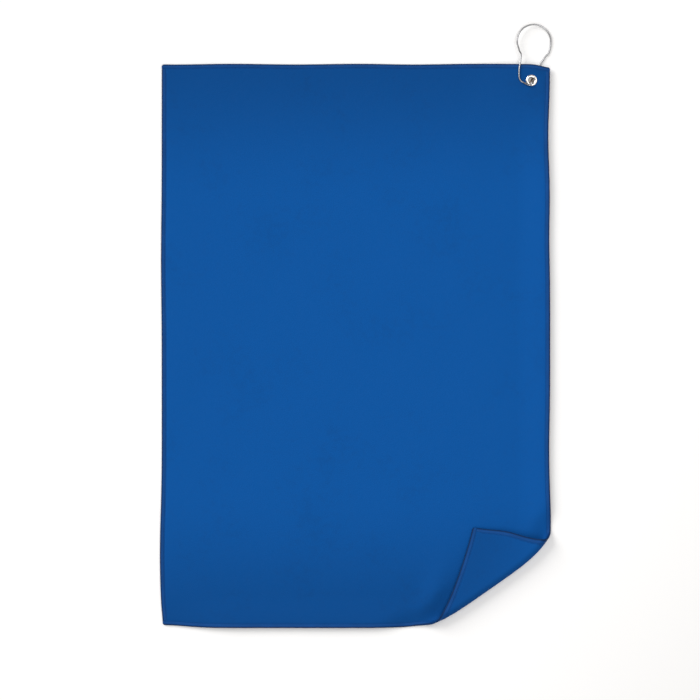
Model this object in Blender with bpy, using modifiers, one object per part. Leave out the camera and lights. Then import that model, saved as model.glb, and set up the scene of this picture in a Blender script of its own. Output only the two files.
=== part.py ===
"""A golf towel: one overlocked cloth with a turned corner, a two-part eyelet and a wire hook.

The towel lies on the XY plane with its length along +Y, centred on the origin. Every cloth piece is
built flat, in cloth coordinates (across, along, up through the thickness), and laid() then puts each
of its points where it lies: up over the hook wire at the eyelet, and round the fold at the corner.
"""

import math

import bmesh
import bpy
from mathutils import Vector

# Cloth
TOWEL_WIDTH = 0.350
TOWEL_LENGTH = 0.508
CLOTH_THICKNESS = 0.0016
CRIMPED_THICKNESS = 0.0012  # where the eyelet squeezes the cloth
FIT_GAP = 0.0003  # between pieces that touch

# Overlock thread round the edge
BAND_WIDTH = 0.0036
THREAD_THICKNESS = 0.0003

# Turned corner
FOLD_UP_SIDE = 0.0838  # from the corner to where the fold meets the right edge
FOLD_ALONG_END = 0.1204  # from the corner to where the fold meets the bottom edge
FOLD_BOW = 0.0080  # how far the middle of the fold swells outwards
ROLL_RADIUS = 0.0046  # of the middle of the cloth as it turns over
FLAP_CLEARANCE = 0.0004  # under the tip of the flap

# Eyelet
EYELET_FROM_SIDE = 0.0167
EYELET_FROM_END = 0.0150
EYELET_RADIUS = 0.0052
EYELET_BORE_RADIUS = 0.0027
TUBE_WALL = 0.00035
FLANGE_HEIGHT = 0.0009
WASHER_THICKNESS = 0.0003
CURL_REACH = 0.0012  # how far the tube's end is rolled out under the washer
CLEAR_UNDER_EYELET = 0.00035  # between the eyelet and the wire that passes under it

# The cloth rises to the eyelet
RISE_FLAT_RADIUS = 0.0060
RISE_REACH = 0.060

# Wire hook
WIRE_RADIUS = 0.0007
BULB_RADIUS = 0.0158
BULB_CENTRE = Vector((0.0027, 0.0352, 0.0))  # from the eyelet's centre
BULB_START = math.radians(-48)
BULB_END = math.radians(192)
WIRE_OVER_CLOTH = 0.0010  # the front leg's clear height over the cloth at the eyelet
LATCH_GAP = 0.0008
ROOT_GAP = 0.0006  # lets the back leg swing without meeting the wire's other half
ROUTE_STEP = 0.0012

EYELET = Vector((TOWEL_WIDTH / 2 - EYELET_FROM_SIDE, TOWEL_LENGTH / 2 - EYELET_FROM_END, 0.0))
CURL_BOTTOM = 2 * WIRE_RADIUS + CLEAR_UNDER_EYELET
WASHER_BOTTOM = CURL_BOTTOM + TUBE_WALL + FIT_GAP
CLOTH_RISE = WASHER_BOTTOM + WASHER_THICKNESS + FIT_GAP
FLANGE_BOTTOM = CLOTH_RISE + CRIMPED_THICKNESS + FIT_GAP
FLANGE_TOP = FLANGE_BOTTOM + FLANGE_HEIGHT
FRONT_LEG_HEIGHT = CLOTH_RISE + CLOTH_THICKNESS + WIRE_OVER_CLOTH / 2 + WIRE_RADIUS
OVER_RIM_HEIGHT = FLANGE_TOP + WIRE_RADIUS + FIT_GAP + 0.0001

FOLD_A = Vector((TOWEL_WIDTH / 2, -TOWEL_LENGTH / 2 + FOLD_UP_SIDE))
FOLD_B = Vector((TOWEL_WIDTH / 2 - FOLD_ALONG_END, -TOWEL_LENGTH / 2))
FOLD_LENGTH = (FOLD_B - FOLD_A).length
FOLD_ALONG = (FOLD_B - FOLD_A).normalized()
FOLD_OUT = Vector((-FOLD_ALONG.y, FOLD_ALONG.x))


def smoothstep(value):
    """0 below 0, 1 above 1, and an even S between."""
    value = max(0.0, min(1.0, value))
    return value * value * (3 - 2 * value)


def fold_coordinates(across, along):
    """Distance along the fold from its upper end, and distance out past it."""
    from_a = Vector((across, along)) - FOLD_A
    return from_a.dot(FOLD_ALONG), from_a.dot(FOLD_OUT)


def roll_start(along_fold):
    """How far out the cloth leaves the ground to turn over, which the fold's bow moves."""
    from_middle = abs(2 * along_fold / FOLD_LENGTH - 1)
    bow = FOLD_BOW * max(0.0, 1 - from_middle**4)
    return bow - ROLL_RADIUS - CLOTH_THICKNESS / 2


def flap_slope():
    """The angle at which the flap comes down, so that its tip lies just clear of the cloth below."""
    along_fold, out = fold_coordinates(TOWEL_WIDTH / 2, -TOWEL_LENGTH / 2)
    flap_length = out - roll_start(along_fold) - math.pi * ROLL_RADIUS
    drop = 2 * ROLL_RADIUS - CLOTH_THICKNESS - FLAP_CLEARANCE
    return math.asin(drop / flap_length)


FLAP_SLOPE = flap_slope()


def rise(across, along):
    """The height of the cloth's underside where the hook wire holds the eyelet corner up."""
    distance = math.hypot(across - EYELET.x, along - EYELET.y)
    return CLOTH_RISE * (1 - smoothstep((distance - RISE_FLAT_RADIUS) / RISE_REACH))


def crimp(across, along):
    """The share of its thickness that the cloth keeps: less under the eyelet."""
    distance = math.hypot(across - EYELET.x, along - EYELET.y)
    loose = smoothstep((distance - EYELET_RADIUS - FIT_GAP) / EYELET_RADIUS)
    squeezed = CRIMPED_THICKNESS / CLOTH_THICKNESS
    return squeezed + (1 - squeezed) * loose


def laid(flat):
    """Where a point of the flat cloth lies: raised at the eyelet, or turned over past the fold."""
    along_fold, out = fold_coordinates(flat.x, flat.y)
    past_start = out - roll_start(along_fold)
    if past_start <= 0:
        height = rise(flat.x, flat.y) + flat.z * crimp(flat.x, flat.y)
        return Vector((flat.x, flat.y, height))
    turn = min(past_start / ROLL_RADIUS, math.pi + FLAP_SLOPE)
    straight = past_start - turn * ROLL_RADIUS
    inward = flat.z - CLOTH_THICKNESS / 2
    radius = ROLL_RADIUS - inward
    new_out = roll_start(along_fold) + radius * math.sin(turn) + straight * math.cos(turn)
    height = CLOTH_THICKNESS / 2 + ROLL_RADIUS - radius * math.cos(turn) + straight * math.sin(turn)
    ground = FOLD_A + FOLD_ALONG * along_fold + FOLD_OUT * new_out
    return Vector((ground.x, ground.y, height))


def clear_scene():
    """Remove every object, so that the script can be run again."""
    for obj in list(bpy.data.objects):
        bpy.data.objects.remove(obj)


def new_collection(name):
    """A collection linked to the scene."""
    collection = bpy.data.collections.new(name)
    bpy.context.scene.collection.children.link(collection)
    return collection


def material(name, colour, roughness, metallic):
    """A plain Principled material."""
    made = bpy.data.materials.new(name)
    made.use_nodes = True
    shader = made.node_tree.nodes["Principled BSDF"]
    shader.inputs["Base Color"].default_value = (*colour, 1.0)
    shader.inputs["Roughness"].default_value = roughness
    shader.inputs["Metallic"].default_value = metallic
    return made


def add_mesh_object(name, mesh, collection, surface=None):
    """An object for a mesh, in its collection and with its material."""
    obj = bpy.data.objects.new(name, mesh)
    collection.objects.link(obj)
    if surface:
        mesh.materials.append(surface)
    return obj


def box(name, low, high, collection):
    """A box between two opposite corners."""
    shape = bmesh.new()
    bmesh.ops.create_cube(shape, size=1.0)
    low, high = Vector(low), Vector(high)
    size = high - low
    bmesh.ops.scale(shape, vec=size, verts=shape.verts)
    bmesh.ops.translate(shape, vec=(low + high) / 2, verts=shape.verts)
    mesh = bpy.data.meshes.new(name)
    shape.to_mesh(mesh)
    shape.free()
    return add_mesh_object(name, mesh, collection)


def round_cutter(name, centre, radius, collection):
    """An upright cylinder, long enough to pass through the cloth."""
    shape = bmesh.new()
    bmesh.ops.create_cone(
        shape, cap_ends=True, segments=32, radius1=radius, radius2=radius, depth=8 * CLOTH_THICKNESS
    )
    bmesh.ops.translate(shape, vec=centre, verts=shape.verts)
    mesh = bpy.data.meshes.new(name)
    shape.to_mesh(mesh)
    shape.free()
    return add_mesh_object(name, mesh, collection)


def combine(base, other, operation):
    """Join or cut one object with another by an exact Boolean, and hide the second."""
    modifier = base.modifiers.new(other.name, "BOOLEAN")
    modifier.operation = operation
    modifier.object = other
    modifier.solver = "EXACT"
    other.hide_render = True
    other.display_type = "WIRE"


def cut_along(shape, point, normal, wanted):
    """Cut the faces whose centre is wanted along one plane."""
    faces = [f for f in shape.faces if wanted(f.calc_center_median())]
    edges = {e for f in faces for e in f.edges}
    verts = {v for f in faces for v in f.verts}
    bmesh.ops.bisect_plane(
        shape, geom=[*faces, *edges, *verts], dist=1e-7, plane_co=point, plane_no=normal
    )


def cut_for_fold(shape):
    """Cuts along and across the fold, close together where the cloth turns over."""
    out = FOLD_OUT.to_3d()
    along = FOLD_ALONG.to_3d()
    start = -ROLL_RADIUS - CLOTH_THICKNESS
    roll_end = start + FOLD_BOW + math.pi * ROLL_RADIUS + CLOTH_THICKNESS
    cuts = 22
    positions = [start + (roll_end - start) * i / cuts for i in range(cuts + 1)]
    flap_cuts = 8
    tip = fold_coordinates(TOWEL_WIDTH / 2, -TOWEL_LENGTH / 2)[1]
    positions += [roll_end + (tip - roll_end) * i / flap_cuts for i in range(1, flap_cuts)]
    for position in positions:
        cut_along(shape, FOLD_A.to_3d() + out * position, out, lambda centre: True)
    steps = 22
    for i in range(-1, steps + 2):
        point = FOLD_A.to_3d() + along * FOLD_LENGTH * i / steps
        cut_along(shape, point, along, lambda centre: (centre - FOLD_A.to_3d()).dot(out) > start)


def cut_for_eyelet(shape):
    """Cuts square to the towel, closer together towards the eyelet."""
    reach = RISE_FLAT_RADIUS + RISE_REACH
    for offset in (0.0057, 0.0080, 0.0110, 0.0150, 0.0220, 0.0320, 0.0450, reach):
        for side in (-1, 1):
            for axis in (Vector((1, 0, 0)), Vector((0, 1, 0))):
                cut_along(
                    shape,
                    EYELET + axis * side * offset,
                    axis,
                    lambda centre: centre.x > EYELET.x - reach and centre.y > EYELET.y - reach,
                )


def lay_cloth(name, flat, collection, surface):
    """Cut a finished flat piece where it bends, move its points to where they lie, and keep the mesh."""
    bpy.context.view_layer.update()
    evaluated = flat.evaluated_get(bpy.context.evaluated_depsgraph_get())
    mesh = bpy.data.meshes.new_from_object(evaluated)
    mesh.name = name
    shape = bmesh.new()
    shape.from_mesh(mesh)
    cut_along(shape, EYELET - Vector((RISE_REACH + RISE_FLAT_RADIUS, 0, 0)), (1, 0, 0), lambda c: True)
    cut_along(shape, EYELET - Vector((0, RISE_REACH + RISE_FLAT_RADIUS, 0)), (0, 1, 0), lambda c: True)
    cut_for_eyelet(shape)
    cut_for_fold(shape)
    bmesh.ops.triangulate(shape, faces=shape.faces)
    for vertex in shape.verts:
        vertex.co = laid(vertex.co)
    shape.to_mesh(mesh)
    shape.free()
    mesh.shade_smooth()
    mesh.set_sharp_from_angle(angle=math.radians(35))
    return add_mesh_object(name, mesh, collection, surface)


def make_panel(collection, cutters, surface):
    """The cloth: full thickness inside, a thin tongue under the edge thread, and the eyelet's hole."""
    inset = BAND_WIDTH + FIT_GAP
    half = Vector((TOWEL_WIDTH / 2, TOWEL_LENGTH / 2, 0))
    inner = half - Vector((inset, inset, 0))
    core = box("flat_core", -inner, inner + Vector((0, 0, CLOTH_THICKNESS)), cutters)
    margin = THREAD_THICKNESS + FIT_GAP
    outer = half - Vector((margin, margin, 0))
    tongue_low = Vector((0, 0, margin))
    tongue_high = Vector((0, 0, CLOTH_THICKNESS - margin))
    tongue = box("flat_tongue", -outer + tongue_low, outer + tongue_high, cutters)
    hole = round_cutter("eyelet_hole", EYELET, EYELET_BORE_RADIUS + TUBE_WALL + FIT_GAP, cutters)
    combine(core, tongue, "UNION")
    combine(core, hole, "DIFFERENCE")
    core.hide_render = True
    return lay_cloth("towel_panel", core, collection, surface)


def make_edge_band(name, middle, along, inward, length, collection, cutters, surface):
    """The overlock thread on one edge: a channel that is open inwards, round the cloth's tongue."""
    middle, along, inward = Vector(middle), Vector(along), Vector(inward)
    up = Vector((0, 0, CLOTH_THICKNESS))

    def span(from_edge, to_edge, half_length, low, high):
        one = middle + inward * from_edge - along * half_length + Vector((0, 0, low))
        two = middle + inward * to_edge + along * half_length + Vector((0, 0, high))
        return [min(a, b) for a, b in zip(one, two)], [max(a, b) for a, b in zip(one, two)]

    body = box("flat_" + name, *span(0, BAND_WIDTH, length / 2, 0, up.z), cutters)
    slot = box(
        "slot_" + name,
        *span(
            THREAD_THICKNESS,
            2 * BAND_WIDTH,
            length,
            THREAD_THICKNESS,
            CLOTH_THICKNESS - THREAD_THICKNESS,
        ),
        cutters,
    )
    combine(body, slot, "DIFFERENCE")
    body.hide_render = True
    return lay_cloth(name, body, collection, surface)


def make_edge_bands(collection, cutters, surface):
    """The four edges: the end bands run the full width, and the side bands fit between them."""
    side_length = TOWEL_LENGTH - 2 * (BAND_WIDTH + FIT_GAP)
    right = (TOWEL_WIDTH / 2, 0, 0)
    top = (0, TOWEL_LENGTH / 2, 0)
    edges = (
        ("edge_thread_top", top, (1, 0, 0), (0, -1, 0), TOWEL_WIDTH),
        ("edge_thread_right", right, (0, 1, 0), (-1, 0, 0), side_length),
        ("edge_thread_bottom", -Vector(top), (1, 0, 0), (0, 1, 0), TOWEL_WIDTH),
        ("edge_thread_left", -Vector(right), (0, 1, 0), (1, 0, 0), side_length),
    )
    for edge in edges:
        make_edge_band(*edge, collection, cutters, surface)


def turned(name, profile, collection, surface):
    """A ring turned from a closed profile of (radius, height), standing at the eyelet."""
    mesh = bpy.data.meshes.new(name)
    points = [(radius, 0.0, height) for radius, height in profile]
    edges = [(i, (i + 1) % len(points)) for i in range(len(points))]
    mesh.from_pydata(points, edges, [])
    ring = add_mesh_object(name, mesh, collection, surface)
    ring.location = EYELET
    screw = ring.modifiers.new("turn", "SCREW")
    screw.steps = 36
    screw.render_steps = 36
    screw.use_merge_vertices = True
    screw.merge_threshold = 0.00001
    screw.use_smooth_shade = True
    return ring


def make_eyelet_barrel(collection, surface):
    """The front half of the eyelet: a domed flange, its tube, and the end rolled out below."""
    bore = EYELET_BORE_RADIUS
    tube = bore + TUBE_WALL
    middle = (bore + EYELET_RADIUS) / 2
    flange = FLANGE_BOTTOM
    shoulder = FLANGE_HEIGHT * 0.6
    profile = (
        (bore + 0.0003, flange + shoulder + 0.00015),
        (middle - 0.0004, FLANGE_TOP),
        (middle + 0.0004, FLANGE_TOP),
        (EYELET_RADIUS - 0.0004, flange + shoulder),
        (EYELET_RADIUS, flange + 0.0002),
        (EYELET_RADIUS - 0.0002, flange),
        (tube, flange),
        (tube, CURL_BOTTOM + TUBE_WALL),
        (tube + CURL_REACH, CURL_BOTTOM + TUBE_WALL),
        (tube + CURL_REACH + 0.0001, CURL_BOTTOM + TUBE_WALL / 2),
        (tube + CURL_REACH, CURL_BOTTOM),
        (bore + 0.0002, CURL_BOTTOM),
        (bore, CURL_BOTTOM + 0.0002),
        (bore, flange + shoulder - 0.0002),
    )
    return turned("eyelet_barrel", profile, collection, surface)


def make_eyelet_washer(collection, surface):
    """The back half of the eyelet: a flat ring round the tube, held by its rolled end."""
    inner = EYELET_BORE_RADIUS + TUBE_WALL + FIT_GAP
    top = WASHER_BOTTOM + WASHER_THICKNESS
    profile = (
        (inner, top),
        (EYELET_RADIUS - 0.0001, top),
        (EYELET_RADIUS, top - 0.0001),
        (EYELET_RADIUS, WASHER_BOTTOM + 0.0001),
        (EYELET_RADIUS - 0.0001, WASHER_BOTTOM),
        (inner, WASHER_BOTTOM),
    )
    return turned("eyelet_washer", profile, collection, surface)


def smooth_route(points):
    """Points every ROUTE_STEP along the Catmull-Rom curve through the route's own points."""
    ends = [2 * points[0] - points[1], *points, 2 * points[-1] - points[-2]]
    route = []
    for before, start, end, after in zip(ends, ends[1:], ends[2:], ends[3:]):
        steps = max(1, round((end - start).length / ROUTE_STEP))
        for i in range(steps):
            t = i / steps
            route.append(
                0.5
                * (
                    2 * start
                    + (end - before) * t
                    + (2 * before - 5 * start + 4 * end - after) * t**2
                    + (3 * start - before - 3 * end + after) * t**3
                )
            )
    return [*route, points[-1]]


def wire(name, route, origin, collection, surface):
    """A round wire with filled ends along a route, with its object's origin at a joint's axis."""
    data = bpy.data.curves.new(name, "CURVE")
    data.dimensions = "3D"
    data.bevel_depth = WIRE_RADIUS
    data.bevel_resolution = 2
    data.use_fill_caps = True
    spline = data.splines.new("POLY")
    spline.points.add(len(route) - 1)
    for point, place in zip(spline.points, route):
        point.co = (*(place - origin), 1.0)
    data.materials.append(surface)
    obj = bpy.data.objects.new(name, data)
    obj.location = EYELET + origin
    collection.objects.link(obj)
    return obj


def bulb_point(angle):
    """A point of the hook's round head, which comes down from the front leg to the ground."""
    share = (BULB_END - angle) / (BULB_END - BULB_START)
    top = FRONT_LEG_HEIGHT - WIRE_OVER_CLOTH
    height = WIRE_RADIUS + (top - WIRE_RADIUS) * (1 - smoothstep(share))
    round_head = BULB_RADIUS * Vector((math.cos(angle), math.sin(angle), 0))
    return BULB_CENTRE + round_head + Vector((0, 0, height))


def make_hook(collection, surface):
    """The bow and the springy back leg of one wire hook, both measured from the eyelet's centre."""
    turns = 48
    head = [bulb_point(BULB_START + (BULB_END - BULB_START) * i / turns) for i in range(turns + 1)]
    high = FRONT_LEG_HEIGHT
    over = OVER_RIM_HEIGHT
    below_rim = -EYELET_RADIUS
    front_leg = [
        Vector((-0.0108, 0.0262, high - 0.0008)),
        Vector((-0.0094, 0.0232, high - 0.0006)),
        Vector((-0.0102, 0.0158, high - 0.0003)),
        Vector((-0.0112, 0.0100, high)),
        Vector((-0.0112, 0.0027, high)),
        Vector((-0.0099, -0.0004, high)),
        Vector((-0.0072, -0.0022, high)),
        Vector((-0.0036, below_rim + 0.0011, over - 0.0002)),
        Vector((-0.0014, below_rim + 0.0006, over)),
    ]
    flange_middle = (EYELET_BORE_RADIUS + EYELET_RADIUS) / 2
    through = [
        Vector((-0.0003, -flange_middle, over)),
        Vector((0.0001, 0.0005 - EYELET_BORE_RADIUS, over - 0.0003)),
        Vector((0.0002, 0.0013 - EYELET_BORE_RADIUS, over - 0.0012)),
        Vector((0.0002, 0.0018 - EYELET_BORE_RADIUS, CLOTH_RISE + CRIMPED_THICKNESS)),
        Vector((0.0004, 0.0002, CLOTH_RISE)),
        Vector((0.0006, 0.0010, CURL_BOTTOM + 0.0002)),
        Vector((0.0009, 0.0016, CURL_BOTTOM - 0.0006)),
        Vector((0.0013, 0.0023, WIRE_RADIUS + 0.0001)),
        Vector((0.0018, 0.0033, WIRE_RADIUS)),
        Vector((0.0027, 0.0049, WIRE_RADIUS)),
    ]
    bow = head + smooth_route(front_leg + through)
    wire("hook_bow", bow, Vector((0, 0, 0)), collection, surface)

    root = bow[-1] + (bow[-1] - bow[-2]).normalized() * ROOT_GAP
    towards_leg = (head[0] - head[1]).normalized()
    tip = head[0] + towards_leg * LATCH_GAP
    back_leg = [
        root,
        Vector((0.0046, 0.0091, WIRE_RADIUS)),
        Vector((0.0075, 0.0160, WIRE_RADIUS)),
        Vector((0.0105, 0.0205, WIRE_RADIUS)),
        Vector((tip.x, tip.y, WIRE_RADIUS)),
    ]
    wire("hook_gate", smooth_route(back_leg), root, collection, surface)


def main():
    """Build every piece of the towel."""
    clear_scene()
    towel = new_collection("golf_towel")
    cutters = new_collection("cutters")
    cloth = material("blue_cloth", (0.008, 0.100, 0.360), 0.9, 0.0)
    thread = material("blue_thread", (0.007, 0.070, 0.260), 0.8, 0.0)
    nickel = material("nickel_plate", (0.75, 0.74, 0.72), 0.25, 1.0)
    steel = material("steel_wire", (0.72, 0.72, 0.71), 0.20, 1.0)
    make_panel(towel, cutters, cloth)
    make_edge_bands(towel, cutters, thread)
    make_eyelet_barrel(towel, nickel)
    make_eyelet_washer(towel, nickel)
    make_hook(towel, steel)


if __name__ == "__main__":
    main()
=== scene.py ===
import math

import bmesh
import bpy
import numpy as np
from bpy.props import FloatProperty, FloatVectorProperty, PointerProperty
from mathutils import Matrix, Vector


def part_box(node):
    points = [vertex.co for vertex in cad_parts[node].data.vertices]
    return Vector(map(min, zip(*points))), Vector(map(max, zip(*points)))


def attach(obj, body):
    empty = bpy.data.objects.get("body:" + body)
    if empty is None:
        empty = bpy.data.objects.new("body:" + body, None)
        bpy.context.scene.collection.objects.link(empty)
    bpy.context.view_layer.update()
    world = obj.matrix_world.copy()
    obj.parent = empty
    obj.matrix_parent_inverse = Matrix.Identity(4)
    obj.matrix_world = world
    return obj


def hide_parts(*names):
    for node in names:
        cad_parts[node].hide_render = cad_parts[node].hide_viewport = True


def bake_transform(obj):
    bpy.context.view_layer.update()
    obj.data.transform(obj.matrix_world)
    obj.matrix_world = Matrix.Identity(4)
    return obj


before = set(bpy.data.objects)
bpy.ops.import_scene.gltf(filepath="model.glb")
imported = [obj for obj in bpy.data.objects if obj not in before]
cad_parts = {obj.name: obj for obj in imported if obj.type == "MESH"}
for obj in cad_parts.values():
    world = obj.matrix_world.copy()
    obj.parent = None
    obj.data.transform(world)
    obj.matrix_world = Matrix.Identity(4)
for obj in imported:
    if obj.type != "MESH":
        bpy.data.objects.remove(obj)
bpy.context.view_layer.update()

bl_info = {
    "name": "Golf Towel",
    "version": (1, 0, 0),
    "blender": (4, 5, 0),
    "location": "3D Viewport > Sidebar > Golf Towel",
    "description": "A blue golf towel with overlocked edges, an eyelet and a wire hook",
    "category": "Add Mesh",
}


# Sizes and places from the CAD frame, in metres


def node_box(name):
    """The lowest and the highest corner of a CAD node."""
    low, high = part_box(name)
    return np.array(low), np.array(high)


END_LOW, END_HIGH = node_box("edge_thread_top")
SIDE_LOW, SIDE_HIGH = node_box("edge_thread_left")
WASHER_LOW, WASHER_HIGH = node_box("eyelet_washer")
BARREL_LOW, BARREL_HIGH = node_box("eyelet_barrel")
WIDTH = float(END_HIGH[0] - END_LOW[0])  # of the flat towel, as the length is
LENGTH = float(2 * END_HIGH[1])
THICKNESS = float(SIDE_HIGH[2] - SIDE_LOW[2])  # of the cloth: the left thread is as thick
BAND_WIDTH = float(SIDE_HIGH[0] - SIDE_LOW[0])  # of the edge thread
EYELET = np.array([*(WASHER_LOW + WASHER_HIGH)[:2] / 2, 0.0])
EYELET_RADIUS = float(WASHER_HIGH[0] - WASHER_LOW[0]) / 2

MM = 0.001
RAISED = float(WASHER_HIGH[2]) + 0.3 * MM  # the cloth's underside at the eyelet
HOLE_MARGIN = 0.65 * MM  # from the eyelet's hole out to the one in the cloth and the washer
THREAD_GAP = 0.3 * MM  # between the threads of the ends and of the sides
THREAD_FLOOR = 0.02 * MM  # the lowest that thread reaches
SHEEN_TINT = (0.10, 0.45, 1.0, 1.0)  # light blue, on cloth and thread


# Sizes and colours that can be changed


class TowelCloth(bpy.types.PropertyGroup):
    """Sizes and colours of the cloth and its edge thread."""

    fold_up_side: FloatProperty(
        name="Fold up the side", description="From the corner to the fold, along the long edge",
        default=0.0834, unit="LENGTH", precision=4,
    )
    fold_along_end: FloatProperty(
        name="Fold along the end", description="From the corner to the fold, along the short edge",
        default=0.1196, unit="LENGTH", precision=4,
    )
    fold_bow: FloatProperty(
        name="Fold bow", description="How far the middle of the fold swells outwards",
        default=0.0085, unit="LENGTH", precision=4,
    )
    skew: FloatProperty(
        name="Flap skew", description="Slide of the turned corner along the fold, as a share of its reach",
        default=0.148, precision=3,
    )
    roll_radius: FloatProperty(
        name="Roll radius", description="Of the middle of the cloth as it turns over",
        default=0.0046, unit="LENGTH", precision=4,
    )
    corner_radius: FloatProperty(
        name="Corner radius", description="Rounding of the four sewn corners",
        default=0.0020, unit="LENGTH", precision=4,
    )
    edge_lift: FloatProperty(
        name="Edge lift", description="How far the right and lower edges stand off the ground",
        default=0.0035, unit="LENGTH", precision=4,
    )
    ripple: FloatProperty(
        name="Ripple", description="Height of the slow waves in the lying cloth",
        default=0.0005, unit="LENGTH", precision=5,
    )
    stitch_pitch: FloatProperty(
        name="Stitch pitch", description="Length of one overlock stitch",
        default=0.0018, unit="LENGTH", precision=4,
    )
    colour: FloatVectorProperty(
        name="Cloth colour", description="The dyed microfibre",
        default=(0.0015, 0.0700, 0.2780), subtype="COLOR", size=3, min=0, max=1,
    )
    thread_colour: FloatVectorProperty(
        name="Thread colour", description="The overlock thread",
        default=(0.0015, 0.0500, 0.2050), subtype="COLOR", size=3, min=0, max=1,
    )


class TowelHardware(bpy.types.PropertyGroup):
    """Sizes and colours of the eyelet and the wire hook."""

    wire_radius: FloatProperty(
        name="Wire radius", description="Half the thickness of the hook's wire",
        default=0.0007, unit="LENGTH", precision=4,
    )
    bulb_radius: FloatProperty(
        name="Head radius", description="Of the wire's middle round the hook's head",
        default=0.0153, unit="LENGTH", precision=4,
    )
    bore_radius: FloatProperty(
        name="Eyelet hole radius", description="Of the hole through the eyelet",
        default=0.0027, unit="LENGTH", precision=4,
    )
    nickel_colour: FloatVectorProperty(
        name="Nickel colour", description="The eyelet's plating",
        default=(0.78, 0.76, 0.73), subtype="COLOR", size=3, min=0, max=1,
    )
    brass_colour: FloatVectorProperty(
        name="Brass colour", description="The bare metal inside the eyelet's hole",
        default=(0.90, 0.66, 0.46), subtype="COLOR", size=3, min=0, max=1,
    )
    steel_colour: FloatVectorProperty(
        name="Steel colour", description="The hook's drawn wire",
        default=(0.34, 0.34, 0.35), subtype="COLOR", size=3, min=0, max=1,
    )


class TowelStudio(bpy.types.PropertyGroup):
    """The floor, the lights and the camera."""

    key_power: FloatProperty(name="Key power", description="Soft box from the upper left", default=86.0)
    top_power: FloatProperty(name="Top power", description="Wide strip overhead", default=5.5)
    room_light: FloatProperty(name="Room light", description="Brightness of the white room", default=0.40)
    frame_width: FloatProperty(
        name="Frame width", description="Width of the ground that the camera sees",
        default=0.6314, unit="LENGTH", precision=4,
    )
    lens: FloatProperty(name="Lens", description="Focal length in millimetres", default=100.0)


# Meshes


def grid_faces(rows, columns, close_columns=False):
    """Quads between the points of a rows by columns grid, whose last column may meet its first."""
    row, column = np.meshgrid(
        np.arange(rows - 1), np.arange(columns if close_columns else columns - 1), indexing="ij"
    )
    after = (column + 1) % columns
    corners = (row * columns + column, row * columns + after,
               (row + 1) * columns + after, (row + 1) * columns + column)
    return np.stack(corners, axis=-1).reshape(-1, 4)


def tube_grid(rings):
    """Points and faces of a closed tube: an array (ring, side, 3) whose two end rings are capped."""
    count, sides = rings.shape[:2]
    faces = [tuple(face) for face in grid_faces(count, sides, close_columns=True).tolist()]
    faces.append(tuple(range(sides))[::-1])
    faces.append(tuple(range((count - 1) * sides, count * sides)))
    return rings.reshape(-1, 3), faces


def joined(*shapes):
    """Several (points, faces, uv) shapes as one."""
    points, faces, uvs, first = [], [], [], 0
    for shape_points, shape_faces, shape_uv in shapes:
        points.append(shape_points)
        uvs.append(shape_uv)
        faces.extend(tuple(i + first for i in face) for face in shape_faces)
        first += len(shape_points)
    return np.concatenate(points), faces, np.concatenate(uvs)


def new_piece(name, shape, surface, body):
    """A smooth closed mesh from (points, faces, uv), its faces turned outwards. It rides on a body of the
    frame, unless body is None."""
    points, faces, uv = shape
    mesh = bpy.data.meshes.new(name)
    mesh.from_pydata(points.tolist(), [], [tuple(face) for face in faces])
    solid = bmesh.new()
    solid.from_mesh(mesh)
    bmesh.ops.recalc_face_normals(solid, faces=solid.faces)
    solid.to_mesh(mesh)
    solid.free()
    corners = np.empty(len(mesh.loops), dtype=np.int32)
    mesh.loops.foreach_get("vertex_index", corners)
    layer = mesh.uv_layers.new(name="cloth")
    layer.data.foreach_set("uv", uv[corners].astype(np.float32).ravel())
    mesh.shade_smooth()
    mesh.materials.append(surface)
    piece = bpy.data.objects.new(name, mesh)
    bpy.context.scene.collection.objects.link(piece)
    if body:
        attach(piece, body)
    return piece


def lines(*runs):
    """Grid lines over joined runs of (start, end, spacing), each run divided evenly."""
    stretches = [
        np.linspace(start, end, max(1, round((end - start) / spacing)), endpoint=False)
        for start, end, spacing in runs
    ]
    return np.concatenate([*stretches, [runs[-1][1]]])


def smoothstep(value):
    """0 below 0, 1 above 1, and 3x^2 - 2x^3 between."""
    value = np.clip(value, 0.0, 1.0)
    return value * value * (3 - 2 * value)


def hump(where, middle, width, height):
    """A smooth bump: height times e to the minus ((where - middle) / width) squared."""
    return height * np.exp(-(((where - middle) / width) ** 2))


# The cloth's shape


def rounded_corners(across, along):
    """The square corners drawn in to arcs: the last square of the corner's radius becomes a quarter disc,
    each point pulled towards its centre by its larger coordinate over its distance."""
    radius = bpy.context.scene.towel_cloth.corner_radius
    past_x = np.maximum(np.abs(across) - (WIDTH / 2 - radius), 0)
    past_y = np.maximum(np.abs(along) - (LENGTH / 2 - radius), 0)
    in_corner = (past_x > 0) & (past_y > 0)
    distance = np.where(in_corner, np.hypot(past_x, past_y), 1.0)
    share = np.where(in_corner, np.maximum(past_x, past_y) / distance, 1.0)
    new_x = np.sign(across) * (np.abs(across) - past_x * (1 - share))
    new_y = np.sign(along) * (np.abs(along) - past_y * (1 - share))
    return new_x, new_y


def wander(where, *humps):
    """How far an edge moves outwards: the sum of its humps, each a (middle, width, height)."""
    return sum(hump(where, *each) for each in humps)


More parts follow.
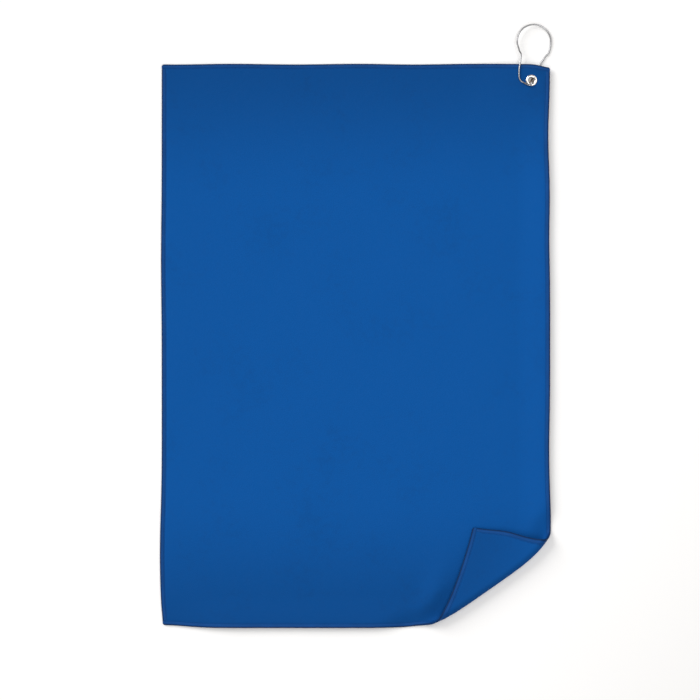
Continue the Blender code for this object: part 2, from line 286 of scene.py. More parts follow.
def uneven_edges(across, along):
    """The cut edges wander by a millimetre or two, and by more beside the fold: each edge moves outwards
    by a sum of humps, and the move fades to nothing a short way inside the cloth."""
    fade = 0.050
    left = wander(
        along, (0.078, 0.050, 0.7 * MM), (-0.188, 0.050, 1.7 * MM), (-LENGTH / 2, 0.015, -1.2 * MM)
    ) - 0.4 * MM
    right = wander(
        along, (0.188, 0.035, -1.6 * MM), (0.096, 0.030, -0.7 * MM), (-0.092, 0.035, -0.8 * MM),
        (-0.223, 0.024, 3.7 * MM), (-0.160, 0.020, 1.0 * MM),
    )
    top = 0.3 * MM * np.cos(across / 0.0172) + wander(across, (WIDTH / 2, 0.010, -3.0 * MM))
    bottom = wander(
        across, (-WIDTH / 2, 0.027, -2.2 * MM), (0.062, 0.014, -1.6 * MM), (0.150, 0.060, -2.9 * MM)
    ) - 0.3 * MM
    near_left = smoothstep(1 - (across + WIDTH / 2) / fade)
    near_right = smoothstep(1 - (WIDTH / 2 - across) / fade)
    near_top = smoothstep(1 - (LENGTH / 2 - along) / fade)
    near_bottom = smoothstep(1 - (along + LENGTH / 2) / fade)
    new_x = across - left * near_left + right * near_right
    new_y = along + top * near_top - bottom * near_bottom
    return new_x, new_y


def ripples(across, along):
    """Slow waves in the lying cloth, between 0 and the ripple height: five crossing sines, each turned
    from the last by the golden angle and each shorter."""
    count, golden_angle, longest = 5, 2.4, 0.19
    total = np.zeros_like(across)
    for number in range(1, count + 1):
        direction = golden_angle * number
        length = longest / (1 + 0.45 * number)
        phase = (across * math.cos(direction) + along * math.sin(direction)) / length
        total += np.sin(2 * math.pi * phase + 1.7 * number) / count
    return bpy.context.scene.towel_cloth.ripple * (0.5 + 0.5 * total)


def fold_frame():
    """The fold's upper end, its length, and the unit directions along it and out past it."""
    cloth = bpy.context.scene.towel_cloth
    start = np.array([WIDTH / 2, -LENGTH / 2 + cloth.fold_up_side])
    end = np.array([WIDTH / 2 - cloth.fold_along_end, -LENGTH / 2])
    length = np.linalg.norm(end - start)
    along = (end - start) / length
    return start, length, along, np.array([-along[1], along[0]])


def roll_start(along_fold, length):
    """How far out the cloth leaves the ground to turn over: a bow of one minus the fourth power of the
    share of the way from the fold's middle to its end, less the roll's outer radius."""
    cloth = bpy.context.scene.towel_cloth
    from_middle = np.abs(2 * along_fold / length - 1)
    bow = cloth.fold_bow * np.maximum(0, 1 - from_middle**4)
    return bow - cloth.roll_radius - THICKNESS / 2


def lift(across, along):
    """How far the cloth stands off the ground near its right and lower edges. It fades to nothing a short
    way inside the cloth, and along each edge towards the upper right and the lower left corner."""
    reach, fade = 0.030, 0.060
    right_end, lower_end = 0.235, -0.170
    right = smoothstep(1 - (WIDTH / 2 - across) / reach) * smoothstep((right_end - along) / fade)
    lower = smoothstep(1 - (along + LENGTH / 2) / reach) * smoothstep((across - lower_end) / fade)
    return bpy.context.scene.towel_cloth.edge_lift * (1 - (1 - right) * (1 - lower))


def tuck(across, along):
    """A low ridge in the lying cloth beside the foot of the turned corner, running the way that the turned
    edge runs: a long hump that way times a short one across it."""
    middle_x, middle_y, direction = 0.069, -0.228, math.radians(70)
    x, y = across - middle_x, along - middle_y
    forward = x * math.cos(direction) + y * math.sin(direction)
    sideways = x * math.sin(direction) - y * math.cos(direction)
    return hump(forward, 0, 0.026, 1.0) * hump(sideways, 0, 0.011, 3.0 * MM)


def rise(across, along):
    """The height to which the hook wire raises the cloth: level round the eyelet, then fading away."""
    level, fade = 6 * MM, 60 * MM
    distance = np.hypot(across - EYELET[0], along - EYELET[1])
    return RAISED * (1 - smoothstep((distance - level) / fade))


def laid(flat):
    """Where points of the flat cloth lie. Short of the fold a point keeps its place and is raised by the
    waves and the hook wire. Past it, it turns round a roll by its arc distance over the radius, to a
    little over half a turn, and then runs straight back down to the cloth, sliding along the fold."""
    cloth = bpy.context.scene.towel_cloth
    across, along = rounded_corners(flat[..., 0], flat[..., 1])
    across, along = uneven_edges(across, along)
    height = flat[..., 2]
    tip_gap, flattened = 0.4 * MM, 20 * MM
    start, length, fold_along, fold_out = fold_frame()
    from_start = np.stack([across, along], axis=-1) - start
    along_fold = from_start @ fold_along
    out = from_start @ fold_out
    begin = roll_start(along_fold, length)
    past = np.maximum(out - begin, 0)
    corner = np.array([WIDTH / 2, -LENGTH / 2]) - start
    flap = corner @ fold_out - roll_start(corner @ fold_along, length) - math.pi * cloth.roll_radius
    slope = math.asin((2 * cloth.roll_radius - THICKNESS - tip_gap) / flap)
    turn = np.minimum(past / cloth.roll_radius, math.pi + slope)
    straight = past - turn * cloth.roll_radius
    radius = cloth.roll_radius - (height - THICKNESS / 2)
    new_out = begin + radius * np.sin(turn) + straight * np.cos(turn)
    rolled = THICKNESS / 2 + cloth.roll_radius - radius * np.cos(turn) + straight * np.sin(turn)
    slid = along_fold + cloth.skew * straight
    ground = start + slid[..., None] * fold_along + new_out[..., None] * fold_out
    turned = (past > 0)[..., None]
    waves = ripples(across, along) + lift(across, along) + tuck(across, along)
    waves = waves * smoothstep(-(out - begin) / flattened)
    lying = np.stack([across, along, height + rise(across, along) + waves], axis=-1)
    return np.where(turned, np.concatenate([ground, rolled[..., None]], axis=-1), lying)


def edge_distance(across, along):
    """Distance in from the nearest edge of the flat cloth."""
    return np.minimum(WIDTH / 2 - np.abs(across), LENGTH / 2 - np.abs(along))


def half_thickness(across, along):
    """Half the cloth's thickness: pressed to 0.55 of itself under the edge thread and to 0.75 under the
    eyelet."""
    inset = edge_distance(across, along)
    hemmed = 0.55 + 0.45 * smoothstep((inset - 0.8 * BAND_WIDTH) / (0.7 * BAND_WIDTH))
    distance = np.hypot(across - EYELET[0], along - EYELET[1])
    crimped = 0.75 + 0.25 * smoothstep((distance - EYELET_RADIUS) / EYELET_RADIUS)
    return THICKNESS / 2 * hemmed * crimped


def round_hole(across, along, hole):
    """Grid lines round the eyelet bent from squares into circles: at the hole's edge each point is pulled
    in by its larger coordinate over its distance, and the pull fades at three times the hole."""
    x, y = across - EYELET[0], along - EYELET[1]
    square = np.maximum(np.abs(x), np.abs(y))
    distance = np.maximum(np.hypot(x, y), 1e-9)
    share = np.where(square > 0, square / distance, 1.0)
    pull = 1 - smoothstep((square - hole) / (2 * hole))
    scale = 1 + (share - 1) * pull
    return EYELET[0] + x * scale, EYELET[1] + y * scale


def cloth_shape():
    """The cloth as two layers of one grid, joined round the outer edge and round the eyelet's hole."""
    hole = bpy.context.scene.towel_hardware.bore_radius + HOLE_MARGIN
    x, y = EYELET[:2]
    # Close lines where the cloth bends and along the edges, wide ones over its flat middle
    fine, coarse, middling = 1.3 * MM, 4.0 * MM, 2.2 * MM
    across_lines = lines(
        (-WIDTH / 2, -WIDTH / 2 + 0.006, fine), (-WIDTH / 2 + 0.006, 0.030, coarse),
        (0.030, x - hole, fine), (x - hole, x + hole, hole / 3), (x + hole, WIDTH / 2, fine),
    )
    along_lines = lines(
        (-LENGTH / 2, -0.150, fine), (-0.150, 0.190, coarse), (0.190, y - hole, middling),
        (y - hole, y + hole, hole / 3), (y + hole, LENGTH / 2, fine),
    )
    square = np.meshgrid(across_lines, along_lines, indexing="ij")
    across, along = round_hole(*square, hole)
    half = half_thickness(across, along)
    top = laid(np.stack([across, along, THICKNESS / 2 + half], axis=-1))
    under = laid(np.stack([across, along, THICKNESS / 2 - half], axis=-1))
    rows, columns = across.shape
    faces = grid_faces(rows, columns)
    middles = np.stack(square, axis=-1).reshape(-1, 2)[faces].mean(axis=1)
    outside = np.max(np.abs(middles - EYELET[:2]), axis=1) > hole
    faces = faces[outside]
    layer = rows * columns
    # An edge that only one face uses is on a rim, where a wall joins the two layers
    edges = np.concatenate([faces[:, [i, (i + 1) % 4]] for i in range(4)])
    keys = np.sort(edges, axis=1) @ np.array([layer, 1])
    _, first, count = np.unique(keys, return_index=True, return_counts=True)
    rim = edges[first[count == 1]]
    rim_faces = np.stack([rim[:, 1], rim[:, 0], rim[:, 0] + layer, rim[:, 1] + layer], axis=-1)
    all_faces = np.concatenate([faces, faces[:, ::-1] + layer, rim_faces])
    points = np.concatenate([top.reshape(-1, 3), under.reshape(-1, 3)])
    uv = np.tile(np.stack([across, along], axis=-1).reshape(-1, 2), (2, 1))
    used, renumbered = np.unique(all_faces, return_inverse=True)
    return points[used], renumbered.reshape(-1, 4).tolist(), uv[used]


# The edge thread's shape


def edge_frame(edge):
    """The middle of one edge, its direction, the direction inwards, and the band's length."""
    side_length = LENGTH - 2 * (BAND_WIDTH + THREAD_GAP)
    frames = {
        "top": ((0, LENGTH / 2), (1, 0), (0, -1), WIDTH),
        "bottom": ((0, -LENGTH / 2), (1, 0), (0, 1), WIDTH),
        "right": ((WIDTH / 2, 0), (0, 1), (-1, 0), side_length),
        "left": ((-WIDTH / 2, 0), (0, 1), (1, 0), side_length),
    }
    middle, along, inward, length = frames[edge]
    return np.array(middle, float), np.array(along, float), np.array(inward, float), length


def along_edge(edge, distance, inset, height):
    """Flat cloth coordinates of points at a distance along an edge, an inset from it and a height."""
    middle, along, inward, _ = edge_frame(edge)
    ground = middle + distance[..., None] * along + inset[..., None] * inward
    return np.concatenate([ground, height[..., None]], axis=-1)


def section_grid(distances, sides):
    """The distance along the edge and the angle round the section, each an array (ring, side)."""
    return np.meshgrid(distances, 2 * math.pi * np.arange(sides) / sides, indexing="ij")


def sewn_tube(edge, distance, inset, height):
    """A closed tube of thread along an edge, laid with the cloth, from arrays (ring, side)."""
    points, faces = tube_grid(laid(along_edge(edge, distance, inset, np.maximum(height, THREAD_FLOOR))))
    uv = np.stack([distance, inset], axis=-1).reshape(-1, 2)
    return points, faces, uv


def looper_shape(edge):
    """The band of looper threads that wraps the cut edge: a round section flattened by powers of its
    cosine and sine, carried along the edge. Its thickness swells once for each thread that crosses,
    slanting with the inset, and each thread's loop stands out a little at the rim."""
    length = edge_frame(edge)[3]
    pitch = bpy.context.scene.towel_cloth.stitch_pitch
    step, slant = pitch / 4, 0.30
    band_half, strand, loop = 0.80 * MM, 0.16 * MM, 0.10 * MM
    distance, angle = section_grid(np.arange(-length / 2, length / 2 + step / 2, step), 16)
    distance = np.minimum(distance, length / 2)
    cosine, sine = np.cos(angle), np.sin(angle)
    inset = BAND_WIDTH / 2 + BAND_WIDTH / 2 * np.sign(cosine) * np.abs(cosine) ** 0.7
    thread = np.abs(np.sin(math.pi * (distance + slant * inset) / (pitch / 2)))
    swell = band_half + strand * thread
    height = THICKNESS / 2 + swell * np.sign(sine) * np.abs(sine) ** 0.6
    inset = inset - loop * thread * (cosine < -0.3)
    return sewn_tube(edge, distance, inset, height)


def needle_shape(edge, side):
    """The needle thread inside the band, on the upper side (1) or the under side (-1): a thin tube that
    dips into the cloth once a stitch, its height following the root of a sine's size."""
    length = edge_frame(edge)[3]
    pitch = bpy.context.scene.towel_cloth.stitch_pitch * 1.3
    radius, dip, past_band, end = 0.20 * MM, 0.25 * MM, 0.45 * MM, length / 2 - 4 * MM
    distance, angle = section_grid(np.arange(-end, end, pitch / 6), 6)
    stitch = np.abs(np.sin(math.pi * distance / pitch)) ** 0.5
    inset = BAND_WIDTH + past_band + radius * np.cos(angle)
    surface = THICKNESS / 2 * 0.80 - dip + dip * stitch
    height = THICKNESS / 2 + side * surface + radius * np.sin(angle)
    return sewn_tube(edge, distance, inset, height)


# The eyelet's and the hook's shapes


def turned_shape(profile, steps=96):
    """A ring: a closed profile of (radius, height) turned round the eyelet's upright axis."""
    radius, height = np.array(profile).T
    angle = 2 * math.pi * np.arange(steps) / steps
    x = EYELET[0] + np.outer(np.cos(angle), radius)
    y = EYELET[1] + np.outer(np.sin(angle), radius)
    z = np.broadcast_to(height, x.shape)
    points = np.stack([x, y, z], axis=-1)
    count = len(radius)
    faces = grid_faces(steps, count, close_columns=True)
    last = np.arange(count) + (steps - 1) * count
    first = np.arange(count)
    seam = np.stack([last, np.roll(last, -1), np.roll(first, -1), first], axis=-1)
    along = np.broadcast_to(np.arange(count) / count, x.shape)
    around = np.broadcast_to(angle[:, None] / (2 * math.pi), x.shape)
    uv = np.stack([around, along], axis=-1).reshape(-1, 2)
    return points.reshape(-1, 3), np.concatenate([faces, seam]).tolist(), uv


def barrel_profile():
    """The front half: a dome from the hole to the rim, a little fuller than half an ellipse, then the
    flange's underside, the tube, its end curled out in a half round, and the hole's wall back up."""
    bore = bpy.context.scene.towel_hardware.bore_radius
    wall, dome_height = 0.35 * MM, 0.9 * MM
    low, high = float(BARREL_LOW[2]), float(BARREL_HIGH[2])
    flange = high - dome_height
    middle, reach = (bore + EYELET_RADIUS) / 2, (EYELET_RADIUS - bore) / 2
    arc = np.linspace(0, math.pi, 25)
    dome = [(middle - reach * math.cos(a), flange + dome_height * math.sin(a) ** 0.85) for a in arc]
    curl_arc = np.linspace(math.pi / 2, -math.pi / 2, 9)
    curl_middle = low + wall / 2
    curl_out = bore + wall + 1.05 * MM
    curl = [(curl_out + wall / 2 * math.cos(a), curl_middle + wall / 2 * math.sin(a)) for a in curl_arc]
    below = flange - 0.1 * MM
    under = [(EYELET_RADIUS - 0.3 * MM, below), (bore + wall + 0.2 * MM, below)]
    tube = [(bore + wall, flange - 0.3 * MM), (bore + wall, low + wall + 0.1 * MM)]
    inner = [(bore + 0.25 * MM, low), (bore + 0.07 * MM, low + 0.08 * MM), (bore, low + 0.3 * MM)]
    return [*dome, *under, *tube, *curl, *inner, (bore, flange - 0.5 * MM)]


def washer_profile():
    """The back half: a thin ring, its rim a half round and its underside swelling a little."""
    inner = bpy.context.scene.towel_hardware.bore_radius + HOLE_MARGIN
    low, high = float(WASHER_LOW[2]), float(WASHER_HIGH[2])
    half = (high - low) / 2
    arc = np.linspace(math.pi / 2, -math.pi / 2, 9)
    rim = [(EYELET_RADIUS - half + half * math.cos(a), low + half + half * math.sin(a)) for a in arc]
    return [(inner, high), *rim, ((inner + EYELET_RADIUS) / 2, low - 0.08 * MM), (inner, low)]


def smooth_route(points, steps=8):
    """The Catmull-Rom curve through the route's own points, as steps points for each of its spans."""
    ends = np.concatenate([[2 * points[0] - points[1]], points, [2 * points[-1] - points[-2]]])
    before, start, end, after = ends[:-3], ends[1:-2], ends[2:-1], ends[3:]
    t = np.linspace(0, 1, steps, endpoint=False)[None, :, None]
    before, start, end, after = (part[:, None, :] for part in (before, start, end, after))
    curve = 0.5 * (
        2 * start + (end - before) * t + (2 * before - 5 * start + 4 * end - after) * t**2
        + (3 * start - before - 3 * end + after) * t**3
    )
    return np.concatenate([curve.reshape(-1, 3), points[-1:]])


def wire_shape(route, sides=16):
    """A round wire along a route, its ends rounded off: rings square to the route, and at each end more
    rings whose radius follows a quarter circle, down to a fiftieth of the wire's."""
    radius = bpy.context.scene.towel_hardware.wire_radius
    forward = np.gradient(route, axis=0)
    forward /= np.linalg.norm(forward, axis=1, keepdims=True)
    quarter = np.linspace(0, math.pi / 2, 6)[1:]
    reach, size = radius * np.sin(quarter), radius * np.maximum(np.cos(quarter), 0.02)
    route_all = np.concatenate([
        route[0] - reach[::-1, None] * forward[0], route, route[-1] + reach[:, None] * forward[-1]
    ])
    caps = len(quarter)
    forward_all = np.concatenate([
        np.repeat(forward[:1], caps, axis=0), forward, np.repeat(forward[-1:], caps, axis=0)
    ])
    sizes = np.concatenate([size[::-1], np.full(len(route), radius), size])
    sideways = np.cross(forward_all, np.array([0.0, 0.0, 1.0]))
    sideways /= np.linalg.norm(sideways, axis=1, keepdims=True)
    upwards = np.cross(sideways, forward_all)
    angle = 2 * math.pi * np.arange(sides) / sides
    ring = (
        np.cos(angle)[None, :, None] * sideways[:, None, :]
        + np.sin(angle)[None, :, None] * upwards[:, None, :]
    )
    rings = route_all[:, None, :] + sizes[:, None, None] * ring
    points, faces = tube_grid(rings)
    travelled = np.concatenate([[0], np.cumsum(np.linalg.norm(np.diff(route_all, axis=0), axis=1))])
    around = np.broadcast_to(angle / (2 * math.pi), (len(route_all), sides))
    uv = np.stack([np.broadcast_to(travelled[:, None], around.shape), around], axis=-1)
    return points, faces, uv.reshape(-1, 2)


def hook_levels():
    """Heights of the wire's middle: on the ground, on the cloth, and over the eyelet's rim."""
    wire = bpy.context.scene.towel_hardware.wire_radius
    on_cloth = RAISED + THICKNESS + 0.5 * MM + wire
    over_rim = float(BARREL_HIGH[2]) + wire + 0.4 * MM
    return wire, on_cloth, over_rim


def hook_head():
    """The round head: an arc from the latch round to the front leg, coming down to the ground evenly. It
    swells by a tenth of its radius just above the latch."""
    ground, on_cloth, _ = hook_levels()
    middle_x, middle_y = 2.4 * MM, 35.2 * MM
    latch, leg, swell = math.radians(-48), math.radians(192), math.radians(-44)
    angle = np.linspace(latch, leg, 96)
    share = (leg - angle) / (leg - latch)
    radius = bpy.context.scene.towel_hardware.bulb_radius * (1 + hump(angle, swell, 0.35, 0.10))
    height = ground + (on_cloth - 1.0 * MM - ground) * (1 - smoothstep(share))
    x, y = middle_x + radius * np.cos(angle), middle_y + radius * np.sin(angle)
    return np.stack([x, y, height], axis=-1)


def front_route():
    """From the head down the front leg, round under the eyelet, over its rim and through its hole. Every
    place is measured from the eyelet's middle, as the head's and the back leg's are."""
    ground, high, over = hook_levels()
    low = float(BARREL_LOW[2])
    points = np.array([
        (-10.8 * MM, 26.2 * MM, high - 0.8 * MM),
        (-9.4 * MM, 23.2 * MM, high - 0.6 * MM),
        (-10.2 * MM, 15.8 * MM, high - 0.3 * MM),
        (-11.2 * MM, 10.0 * MM, high),
        (-11.2 * MM, 2.7 * MM, high),
        (-9.9 * MM, -0.4 * MM, high),
        (-7.2 * MM, -2.2 * MM, high),
        (-3.6 * MM, -4.1 * MM, over - 0.2 * MM),
        (-1.4 * MM, -4.6 * MM, over),
        (-0.3 * MM, -3.95 * MM, over),
        (0.1 * MM, -2.2 * MM, over - 0.3 * MM),
        (0.2 * MM, -1.4 * MM, over - 1.2 * MM),
        (0.2 * MM, -0.9 * MM, RAISED + 1.2 * MM),
        (0.4 * MM, 0.2 * MM, RAISED),
        (0.6 * MM, 1.0 * MM, low + 0.2 * MM),
        (0.9 * MM, 1.6 * MM, low - 0.6 * MM),
        (1.3 * MM, 2.3 * MM, ground + 0.1 * MM),
        (1.8 * MM, 3.3 * MM, ground),
        (2.7 * MM, 4.9 * MM, ground),
    ])
    return smooth_route(points)


def back_route():
    """From behind the eyelet out to the latch, flat on the ground. It starts inside the front wire's end
    and stops just short of the head's start, nearly in line with it."""
    ground = hook_levels()[0]
    latch_gap = 0.8 * MM
    head = hook_head()
    tip = head[0] + latch_gap * (head[0] - head[1]) / np.linalg.norm(head[0] - head[1])
    points = np.array([
        (2.2 * MM, 4.0 * MM, ground),
        (2.9 * MM, 5.3 * MM, ground),
        (4.6 * MM, 9.1 * MM, ground),
        (7.9 * MM, 14.8 * MM, ground),
        (10.9 * MM, 19.0 * MM, ground),
        (tip[0] - 0.3 * MM, tip[1] - 0.3 * MM, ground),
    ])
    return smooth_route(points, steps=12)


# Materials


class Surface:
    """A Principled material and short ways to add and wire its nodes."""

    def __init__(self, name):
        """Make the material and find its shader."""
        self.material = bpy.data.materials.new(name)
        self.material.use_nodes = True
        self.tree = self.material.node_tree
        self.shader = self.tree.nodes["Principled BSDF"]

    def add(self, kind, **values):
        """A node, with its settings by attribute name and its sockets by label."""
        node = self.tree.nodes.new(kind)
        for name, value in values.items():
            if hasattr(node, name):
                setattr(node, name, value)
            else:
                node.inputs[name.replace("_", " ").title()].default_value = value
        return node

    def link(self, out, into):
        """Join one node's output to another's input."""
        self.tree.links.new(out, into)

    def set(self, **values):
        """Set the shader's own sockets, by label."""
        for name, value in values.items():
            self.shader.inputs[name.replace("_", " ").title().replace("Ior", "IOR")].default_value = value

    def coordinates(self, scale=(1.0, 1.0, 1.0)):
        """The piece's own surface coordinates: metres of cloth, thread or wire, or shares of a ring."""
        uv = self.add("ShaderNodeUVMap", uv_map="cloth")
        mapping = self.add("ShaderNodeMapping")
        mapping.inputs["Scale"].default_value = scale
        self.link(uv.outputs["UV"], mapping.inputs["Vector"])
        return mapping.outputs["Vector"]

    def object_coordinates(self):
        """The place in space, in metres."""
        return self.add("ShaderNodeTexCoord").outputs["Object"]

    def noise(self, vector, scale, detail=3.0, roughness=0.55):
        """Cloudy noise from 0 to 1, with so many clouds to the metre."""
        node = self.add("ShaderNodeTexNoise", scale=scale, detail=detail, roughness=roughness)
        self.link(vector, node.inputs["Vector"])
        return node.outputs["Fac"]

    def shades(self, factor, colours):
        """A colour ramp over (position, colour) stops."""
        node = self.add("ShaderNodeValToRGB")
        ramp = node.color_ramp
        while len(ramp.elements) < len(colours):
            ramp.elements.new(0.5)
        for element, (position, colour) in zip(ramp.elements, colours):
            element.position = position
            element.color = (*colour, 1.0)
        self.link(factor, node.inputs["Fac"])
        return node.outputs["Color"]

    def spread(self, factor, low, high):
        """A 0 to 1 factor stretched to run from low to high."""
        node = self.add("ShaderNodeMapRange")
        node.inputs["To Min"].default_value = low
        node.inputs["To Max"].default_value = high
        self.link(factor, node.inputs["Value"])
        return node.outputs["Result"]

    def sum(self, one, two, share):
        """one plus share times two."""
        node = self.add("ShaderNodeMath", operation="MULTIPLY_ADD")
        node.inputs[1].default_value = share
        self.link(two, node.inputs[0])
        self.link(one, node.inputs[2])
        return node.outputs["Value"]

    def darkened(self, colour, value):
        """A colour whose brightness is multiplied by a value."""
        node = self.add("ShaderNodeHueSaturation")
        self.link(colour, node.inputs["Color"])
        self.link(value, node.inputs["Value"])
        return node.outputs["Color"]

    def mixed(self, share, colour, other):
        """A colour turned by a share into another, fixed one. The node's colour sockets go by number,
        because its labels repeat for each kind of data."""
        first, second, result = 6, 7, 2
        node = self.add("ShaderNodeMix", data_type="RGBA")
        self.link(share, node.inputs["Factor"])
        self.link(colour, node.inputs[first])
        node.inputs[second].default_value = (*other, 1.0)
        return node.outputs[result]

    def across(self, vector, axis):
        """One axis of a vector."""
        node = self.add("ShaderNodeSeparateXYZ")
        self.link(vector, node.inputs["Vector"])
        return node.outputs[axis]

    def ramp(self, value, start, end, low, high):
        """A smooth step between two values: low before start, high past end."""
        node = self.add("ShaderNodeMapRange", interpolation_type="SMOOTHSTEP")
        for label, number in (("From Min", start), ("From Max", end), ("To Min", low), ("To Max", high)):
            node.inputs[label].default_value = number
        self.link(value, node.inputs["Value"])
        return node.outputs["Result"]

    def size(self, value):
        """A value without its sign."""
        node = self.add("ShaderNodeMath", operation="ABSOLUTE")
        self.link(value, node.inputs[0])
        return node.outputs["Value"]

    def bump(self, height, distance, strength):
        """Fine relief on the whole surface, from a 0 to 1 height over a distance in metres."""
        node = self.add("ShaderNodeBump")
        node.inputs["Distance"].default_value = distance
        node.inputs["Strength"].default_value = strength
        self.link(height, node.inputs["Height"])
        self.link(node.outputs["Normal"], self.shader.inputs["Normal"])


def shade(colour, share):
    """A colour made lighter or darker."""
    return tuple(channel * share for channel in colour)


def microfibre():
    """Dyed microfibre: a fine pile in rows, brushed lighter and darker in soft patches, and darkened
    towards the two ends by painted shade, a falloff of the light painted into its colour."""
    surface = Surface("blue_microfibre")
    colour = tuple(bpy.context.scene.towel_cloth.colour)
    cloth = surface.coordinates()
    rows = surface.coordinates((1.0, 0.55, 1.0))
    pile = surface.noise(rows, 1500.0, detail=2.0)
    nap = surface.noise(cloth, 150.0, detail=4.0)
    patches = surface.noise(cloth, 14.0, detail=3.0)
    tone = surface.sum(surface.sum(patches, nap, 0.6), pile, 0.5)
    tint = surface.shades(
        surface.spread(tone, -0.1, 0.6),
        ((0.25, shade(colour, 0.84)), (0.50, colour), (0.75, shade(colour, 1.15))),
    )
    # Painted shade: the colour darkens to 0.72 of itself towards the two ends, a light falloff painted
    # into the cloth
    from_middle = surface.size(surface.across(cloth, "Y"))
    ends = surface.ramp(from_middle, 0.25 * LENGTH, 0.54 * LENGTH, 1.0, 0.72)
    surface.link(surface.darkened(tint, ends), surface.shader.inputs["Base Color"])
    surface.link(surface.spread(nap, 0.78, 0.95), surface.shader.inputs["Roughness"])
    surface.bump(surface.sum(pile, nap, 0.5), 0.00035, 0.6)
    surface.set(
        sheen_weight=0.06, sheen_roughness=0.45, sheen_tint=SHEEN_TINT, specular_ior_level=0.10
    )
    return surface.material


def overlock_thread():
    """Twisted polyester thread: fine slanting plies across the wrapped strands, with painted shade
    darkening it at the rim, where the loops would shade each other."""
    surface = Surface("blue_overlock_thread")
    colour = tuple(bpy.context.scene.towel_cloth.thread_colour)
    strands = surface.coordinates((1.0, 0.35, 1.0))
    plies = surface.noise(strands, 3200.0, detail=2.0)
    wear = surface.noise(surface.coordinates(), 60.0, detail=3.0)
    tint = surface.shades(
        surface.spread(surface.sum(plies, wear, 0.5), -0.1, 0.75),
        ((0.25, shade(colour, 0.75)), (0.55, colour), (0.85, shade(colour, 1.5))),
    )
    inset = surface.across(surface.coordinates(), "Y")
    # Painted shade: the thread's colour falls to 0.4 of itself at the outer rim of the band
    rim = surface.ramp(inset, 0.6 * MM, 1.6 * MM, 0.40, 1.0)
    surface.link(surface.darkened(tint, rim), surface.shader.inputs["Base Color"])
    surface.link(surface.spread(plies, 0.50, 0.75), surface.shader.inputs["Roughness"])
    surface.bump(plies, 0.0002, 0.5)
    surface.set(sheen_weight=0.03, sheen_tint=SHEEN_TINT, specular_ior_level=0.12)
    return surface.material


def bright_metal(name, colour, low, high, bare=None):
    """Polished metal, with fine wiping marks that change its gloss. The bare metal, if any, shows on the
    hole's wall, which is the last tenth of the way round the profile."""
    surface = Surface(name)
    place = surface.object_coordinates()
    marks = surface.noise(place, 900.0, detail=4.0)
    tint = surface.shades(marks, ((0.3, shade(colour, 0.93)), (0.7, colour)))
    if bare:
        round_profile = surface.across(surface.coordinates(), "Y")
        tint = surface.mixed(surface.ramp(round_profile, 0.88, 0.91, 0.0, 1.0), tint, bare)
    surface.link(tint, surface.shader.inputs["Base Color"])
    surface.link(surface.spread(marks, low, high), surface.shader.inputs["Roughness"])
    surface.bump(marks, 0.00002, 0.25)
    surface.set(metallic=1.0)
    return surface.material


def studio_floor():
    """Matt white paper with an even tooth."""
    surface = Surface("white_paper")
    tooth = surface.noise(surface.object_coordinates(), 300.0, detail=2.0)
    surface.link(surface.spread(tooth, 0.85, 0.95), surface.shader.inputs["Roughness"])
    surface.set(base_color=(0.90, 0.90, 0.90, 1.0), specular_ior_level=0.1)
    return surface.material


# Operators


class TOWEL_OT_edge_threads(bpy.types.Operator):
    """Sew the overlock thread round the four edges"""

    bl_idname = "golf_towel.edge_threads"
    bl_label = "Edge threads"

    def execute(self, context):
        """Make one piece for each edge: the looper band and a needle line on each side."""
        surface = overlock_thread()
        for edge in ("top", "right", "bottom", "left"):
            shape = joined(looper_shape(edge), needle_shape(edge, 1), needle_shape(edge, -1))
            piece = new_piece(edge + "_overlock", shape, surface, "towel")
            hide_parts("edge_thread_" + edge)
        return {"FINISHED"}


class TOWEL_OT_eyelet(bpy.types.Operator):
    """Press the two halves of the eyelet"""

    bl_idname = "golf_towel.eyelet"
    bl_label = "Eyelet"

    def execute(self, context):
        """Turn the front and the back half."""
        colour = tuple(context.scene.towel_hardware.nickel_colour)
        brass = tuple(context.scene.towel_hardware.brass_colour)
        surface = bright_metal("bright_nickel", colour, 0.16, 0.28, brass)
        front = new_piece("eyelet_front", turned_shape(barrel_profile()), surface, "towel")
        back = new_piece("eyelet_back", turned_shape(washer_profile()), surface, "towel")
        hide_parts("eyelet_barrel")
        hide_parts("eyelet_washer")
        return {"FINISHED"}


class TOWEL_OT_cloth(bpy.types.Operator):
    """Lay the cloth with its corner turned over"""

    bl_idname = "golf_towel.cloth"
    bl_label = "Cloth"

    def execute(self, context):
        """Make the cloth."""
        cloth = new_piece("towel_cloth", cloth_shape(), microfibre(), "towel")
        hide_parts("towel_panel")
        return {"FINISHED"}


class TOWEL_OT_hook(bpy.types.Operator):
    """Bend the wire hook through the eyelet"""

    bl_idname = "golf_towel.hook"
    bl_label = "Wire hook"

    def execute(self, context):
        """Make the front wire and the springy back leg."""
        surface = bright_metal("drawn_steel", tuple(context.scene.towel_hardware.steel_colour), 0.18, 0.30)
        route = np.concatenate([hook_head()[:-1], front_route()]) + EYELET
        front = new_piece("hook_front_wire", wire_shape(route), surface, "hook")
        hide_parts("hook_bow")
        back_points = back_route() + EYELET
        back = new_piece("hook_back_leg", wire_shape(back_points), surface, None)
        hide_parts("hook_gate")
        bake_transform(back)
        return {"FINISHED"}


def area_light(name, location, width, depth, power):
    """A rectangular soft light that looks at the middle of the floor."""
    data = bpy.data.lights.new(name, "AREA")
    data.shape = "RECTANGLE"
    data.size = width
    data.size_y = depth
    data.energy = power
    light = bpy.data.objects.new(name, data)
    light.location = location
    light.rotation_euler = (-Vector(location)).to_track_quat("-Z", "Y").to_euler()
    bpy.context.scene.collection.objects.link(light)
    return light


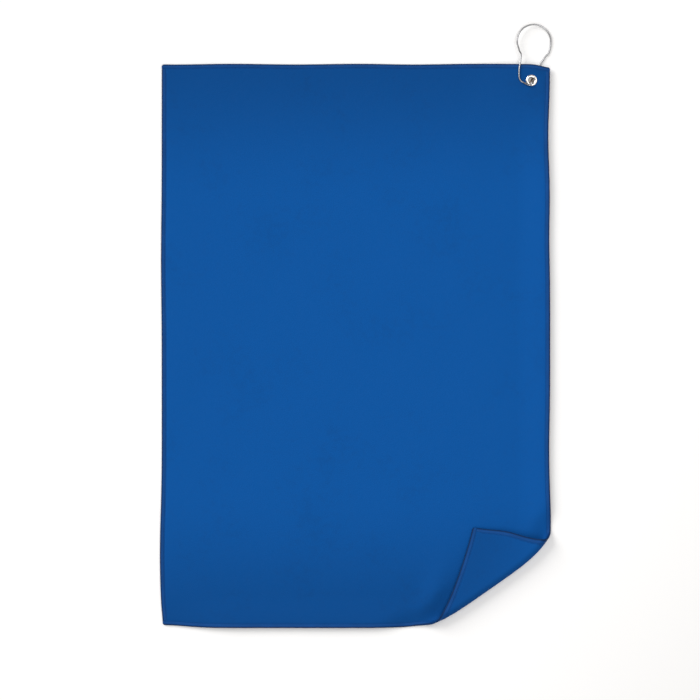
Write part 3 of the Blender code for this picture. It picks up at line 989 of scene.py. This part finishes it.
class TOWEL_OT_studio(bpy.types.Operator):
    """Set up the white floor, the soft lights and the camera overhead"""

    bl_idname = "golf_towel.studio"
    bl_label = "Studio"

    def execute(self, context):
        """Make the floor, the lights, the room and the camera."""
        studio = context.scene.towel_studio
        mesh = bpy.data.meshes.new("studio_floor")
        half, level = 4.0, -0.05 * MM
        corners = ((-half, -half), (half, -half), (half, half), (-half, half))
        mesh.from_pydata([(x, y, level) for x, y in corners], [], [(0, 1, 2, 3)])
        mesh.materials.append(studio_floor())
        floor = bpy.data.objects.new("studio_floor", mesh)
        context.scene.collection.objects.link(floor)

        area_light("key_softbox", (-2.2, 1.75, 1.75), 2.2, 2.0, studio.key_power)
        strip = area_light("overhead_strip", (0.15, -0.10, 0.85), 1.8, 0.30, studio.top_power)
        strip.visible_camera = False
        world = bpy.data.worlds.new("white_room")
        world.use_nodes = True
        background = world.node_tree.nodes["Background"]
        background.inputs["Color"].default_value = (1.0, 0.97, 0.94, 1.0)
        background.inputs["Strength"].default_value = studio.room_light
        context.scene.world = world
        context.scene.view_settings.view_transform = "Standard"

        data = bpy.data.cameras.new("overhead_camera")
        data.lens = studio.lens
        camera = bpy.data.objects.new("overhead_camera", data)
        aim_x, aim_y = -5.0 * MM, -3.6 * MM
        height = studio.frame_width * studio.lens / data.sensor_width
        camera.location = (aim_x, aim_y, height)
        context.scene.collection.objects.link(camera)
        context.scene.camera = camera
        return {"FINISHED"}


class TOWEL_PT_panel(bpy.types.Panel):
    """The towel's pieces, in the order they are made"""

    bl_idname = "TOWEL_PT_panel"
    bl_label = "Golf Towel"
    bl_space_type = "VIEW_3D"
    bl_region_type = "UI"
    bl_category = "Golf Towel"

    def draw(self, context):
        """List the operators, and under them the sizes and colours."""
        for operator in OPERATORS:
            self.layout.operator(operator.bl_idname)
        for group in ("towel_cloth", "towel_hardware", "towel_studio"):
            box = self.layout.box()
            values = getattr(context.scene, group)
            for name in type(values).__annotations__:
                box.prop(values, name)


OPERATORS = (
    TOWEL_OT_edge_threads,
    TOWEL_OT_eyelet,
    TOWEL_OT_cloth,
    TOWEL_OT_hook,
    TOWEL_OT_studio,
)
GROUPS = (TowelCloth, TowelHardware, TowelStudio)
CLASSES = (*GROUPS, *OPERATORS, TOWEL_PT_panel)


def register():
    """Add the classes, and the three groups of values to the scene."""
    for cls in CLASSES:
        bpy.utils.register_class(cls)
    bpy.types.Scene.towel_cloth = PointerProperty(type=TowelCloth)
    bpy.types.Scene.towel_hardware = PointerProperty(type=TowelHardware)
    bpy.types.Scene.towel_studio = PointerProperty(type=TowelStudio)


def unregister():
    """Take away what register adds, last first."""
    del bpy.types.Scene.towel_studio
    del bpy.types.Scene.towel_hardware
    del bpy.types.Scene.towel_cloth
    for cls in reversed(CLASSES):
        bpy.utils.unregister_class(cls)


def main():
    """Make every piece and the studio."""
    register()
    bpy.ops.golf_towel.edge_threads()
    bpy.ops.golf_towel.eyelet()
    bpy.ops.golf_towel.cloth()
    bpy.ops.golf_towel.hook()
    bpy.ops.golf_towel.studio()


if __name__ == "__main__":
    main()
